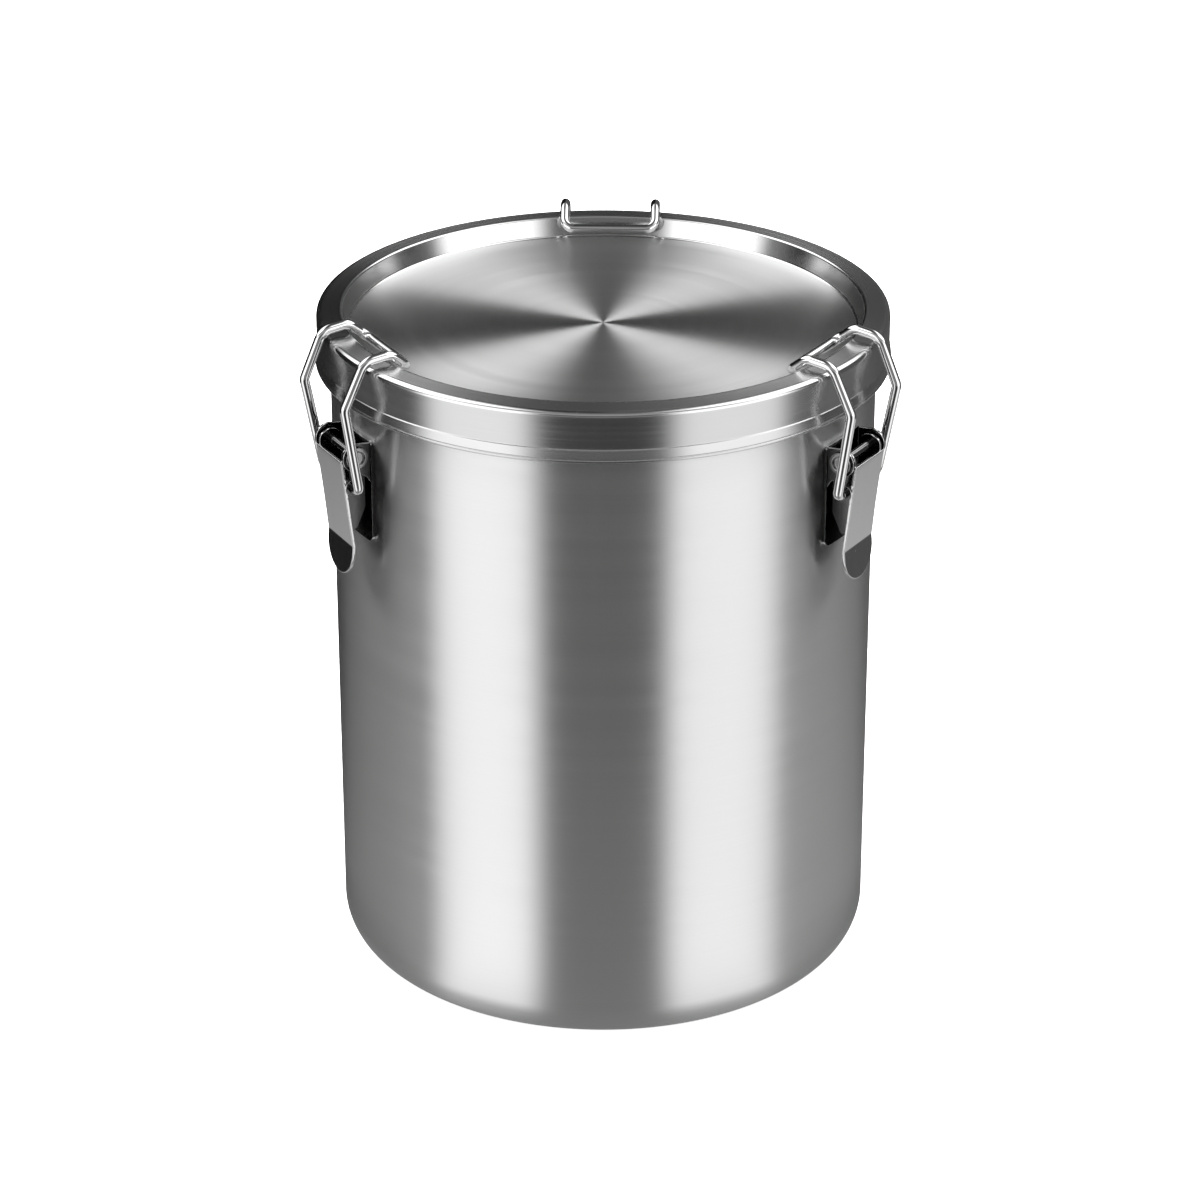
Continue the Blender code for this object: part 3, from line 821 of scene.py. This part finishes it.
def make_floor():
    """A plain pale floor, wide enough that it has no edge in view."""
    bm = bmesh.new()
    rings = []
    for r in (0.0, 0.15, 0.3, 0.6, 1.2, 2.4, 4.0, 6.0):
        if r == 0:
            rings.append([bm.verts.new((0, 0, 0))])
            continue
        rings.append([bm.verts.new((r * math.cos(2 * math.pi * i / 96), r * math.sin(2 * math.pi * i / 96), 0)) for i in range(96)])
    for a, b in zip(rings, rings[1:]):
        for i in range(96):
            j = (i + 1) % 96
            bm.faces.new((a[0], b[i], b[j]) if len(a) == 1 else (a[i], b[i], b[j], a[j]))
    floor = finished("studio_floor", bm)
    material, shader, m = principled("pale_floor")
    cloud = m.noise(m.coordinates(), 3.0, 2.0, 0.5)
    m.tree.links.new(m.grey(m.add(0.9, m.mul(m.sub(cloud, 0.5), 0.01))), shader.inputs["Base Color"])
    shader.inputs["Roughness"].default_value = 0.9
    shader.inputs["Specular IOR Level"].default_value = 0.0
    shader.inputs["Emission Color"].default_value = (1.0, 1.0, 1.0, 1.0)
    shader.inputs["Emission Strength"].default_value = 0.8
    # what polished steel sees of it: clear, but for a soft pool of light before the can's foot
    x, y, z = m.xyz(m.coordinates())
    ahead = m.add(y, 0.16)
    pool = m.mul(m.smooth(m.op("SQRT", m.add(m.mul(x, x), m.mul(ahead, ahead))), 0.18, 0.05), 0.2)
    clear = m.tree.nodes.new("ShaderNodeBsdfTransparent")
    glow = m.tree.nodes.new("ShaderNodeEmission")
    m.tree.links.new(m.grey(pool), glow.inputs["Color"])
    both = m.tree.nodes.new("ShaderNodeAddShader")
    m.tree.links.new(clear.outputs[0], both.inputs[0])
    m.tree.links.new(glow.outputs[0], both.inputs[1])
    # right under the rounded foot the steel sees a dim grey glow instead of the floor: painted shade in its reflection
    foot = m.tree.nodes.new("ShaderNodeEmission")
    foot.inputs["Color"].default_value = (0.3, 0.3, 0.3, 1.0)
    seen = m.tree.nodes.new("ShaderNodeMixShader")
    m.tree.links.new(m.smooth(m.op("SQRT", m.add(m.mul(x, x), m.mul(y, y))), 0.104, 0.086), seen.inputs[0])
    m.tree.links.new(both.outputs[0], seen.inputs[1])
    m.tree.links.new(foot.outputs[0], seen.inputs[2])
    mix = m.tree.nodes.new("ShaderNodeMixShader")
    m.tree.links.new(m.tree.nodes.new("ShaderNodeLightPath").outputs["Is Glossy Ray"], mix.inputs[0])
    m.tree.links.new(shader.outputs[0], mix.inputs[1])
    m.tree.links.new(seen.outputs[0], mix.inputs[2])
    m.tree.links.new(mix.outputs[0], m.tree.nodes["Material Output"].inputs["Surface"])
    floor.data.materials.append(material)


def make_world():
    """Studio surroundings as soft grey tones: two tall softboxes at the front left and right, two overhead, dark behind."""
    world = bpy.data.worlds.new("studio")
    bpy.context.scene.world = world
    world.use_nodes = True
    tree = world.node_tree
    tree.nodes.clear()
    m = Maths(tree)
    x, y, z = m.xyz(tree.nodes.new("ShaderNodeTexCoord").outputs["Generated"])
    azimuth = m.mul(m.op("ARCTAN2", x, m.mul(y, -1.0)), 180 / math.pi)  # 0 towards the camera, + to its right
    elevation = m.mul(m.op("ARCSINE", z), 180 / math.pi)

    # two tall softboxes in front
    fade = m.smooth(elevation, 20.0, 45.0, 1.0, 0.0)
    fade = m.mul(fade, m.add(1.0, m.mul(m.smooth(elevation, -14.0, -4.0), 0.35)))
    fade = m.mul(fade, m.smooth(elevation, -66.0, -46.0, 0.1, 1.0))
    left = m.mul(m.mul(m.band(azimuth, -72.8, -27.0, 14.0), fade), 1.39)
    right = m.mul(m.mul(m.band(azimuth, 29.5, 78.8, 14.0), fade), 1.29)
    boxes = m.op("MAXIMUM", left, right)

    # overhead boxes on a plane 1 above
    up = m.op("MAXIMUM", z, 0.02)
    px = m.op("ABSOLUTE", m.op("DIVIDE", x, up))
    py = m.op("DIVIDE", y, up)
    top = m.mul(m.mul(m.band(px, 0.34, 1.9, 0.3), m.band(py, -0.4, 1.35, 0.5)), m.smooth(z, 0.2, 0.4))
    top = m.mul(top, 2.35)

    # dim ahead of the can, lit table far below; beside and behind it the dark room meets the table sharply
    aside = m.smooth(m.op("ABSOLUTE", azimuth), 80.0, 96.0)
    ahead = m.add(0.045, m.add(m.mul(m.smooth(elevation, -45.0, -75.0), 0.07), m.mul(m.smooth(elevation, 0.0, 20.0), 0.06)))
    ahead = m.add(ahead, m.mul(m.band(elevation, -9.0, 12.0, 7.0), 0.2))
    room = m.smooth(azimuth, -20.0, 20.0, 0.012, 0.1)
    far = m.smooth(m.op("ABSOLUTE", azimuth), 136.0, 150.0)
    near_table = m.smooth(elevation, -21.0, -33.0)
    far_table = m.smooth(elevation, -25.0, -29.0)
    beside = m.add(room, m.mul(m.add(m.mul(m.sub(1.0, far), near_table), m.mul(far, far_table)), 0.6))
    behind = m.sub(m.mul(m.smooth(elevation, 23.0, 27.0), 0.105), m.mul(m.smooth(elevation, 38.0, 60.0), 0.07))
    over = m.mul(m.mul(m.smooth(z, 0.35, 0.6), m.smooth(y, -0.2, -0.6)), 0.2)
    base = m.add(m.add(m.mul(m.sub(1.0, aside), ahead), m.mul(aside, beside)), m.add(behind, over))

    total = m.add(m.op("MAXIMUM", boxes, top), base)
    surroundings = tree.nodes.new("ShaderNodeBackground")
    tree.links.new(m.grey(total), surroundings.inputs["Color"])
    backdrop = tree.nodes.new("ShaderNodeBackground")
    backdrop.inputs["Color"].default_value = (1, 1, 1, 1)
    mix = tree.nodes.new("ShaderNodeMixShader")
    tree.links.new(tree.nodes.new("ShaderNodeLightPath").outputs["Is Camera Ray"], mix.inputs[0])
    tree.links.new(surroundings.outputs[0], mix.inputs[1])
    tree.links.new(backdrop.outputs[0], mix.inputs[2])
    tree.links.new(mix.outputs[0], tree.nodes.new("ShaderNodeOutputWorld").inputs[0])


def make_lights():
    data = bpy.data.lights.new("ceiling_softbox", "AREA")
    data.shape = "DISK"
    data.size = 3.2
    data.energy = 130
    light = bpy.data.objects.new("ceiling_softbox", data)
    light.location = (0, 0, 2.4)
    light.visible_camera = False
    light.visible_glossy = False
    bpy.context.scene.collection.objects.link(light)


def make_camera():
    data = bpy.data.cameras.new("camera")
    camera = bpy.data.objects.new("camera", data)
    camera.location = (0.03121, -1.11748, 0.62589)
    camera.rotation_euler = (math.radians(65.126), 0, math.radians(1.6))
    data.sensor_width = 36
    data.lens = 122.62
    data.shift_x = -3.2 / 1200
    data.clip_start, data.clip_end = 0.01, 50
    bpy.context.scene.collection.objects.link(camera)
    bpy.context.scene.camera = camera


make_floor()
make_world()
make_lights()
make_camera()
bpy.context.scene.view_settings.view_transform = "Standard"
bpy.context.scene.view_settings.look = "None"

bpy.context.view_layer.update()
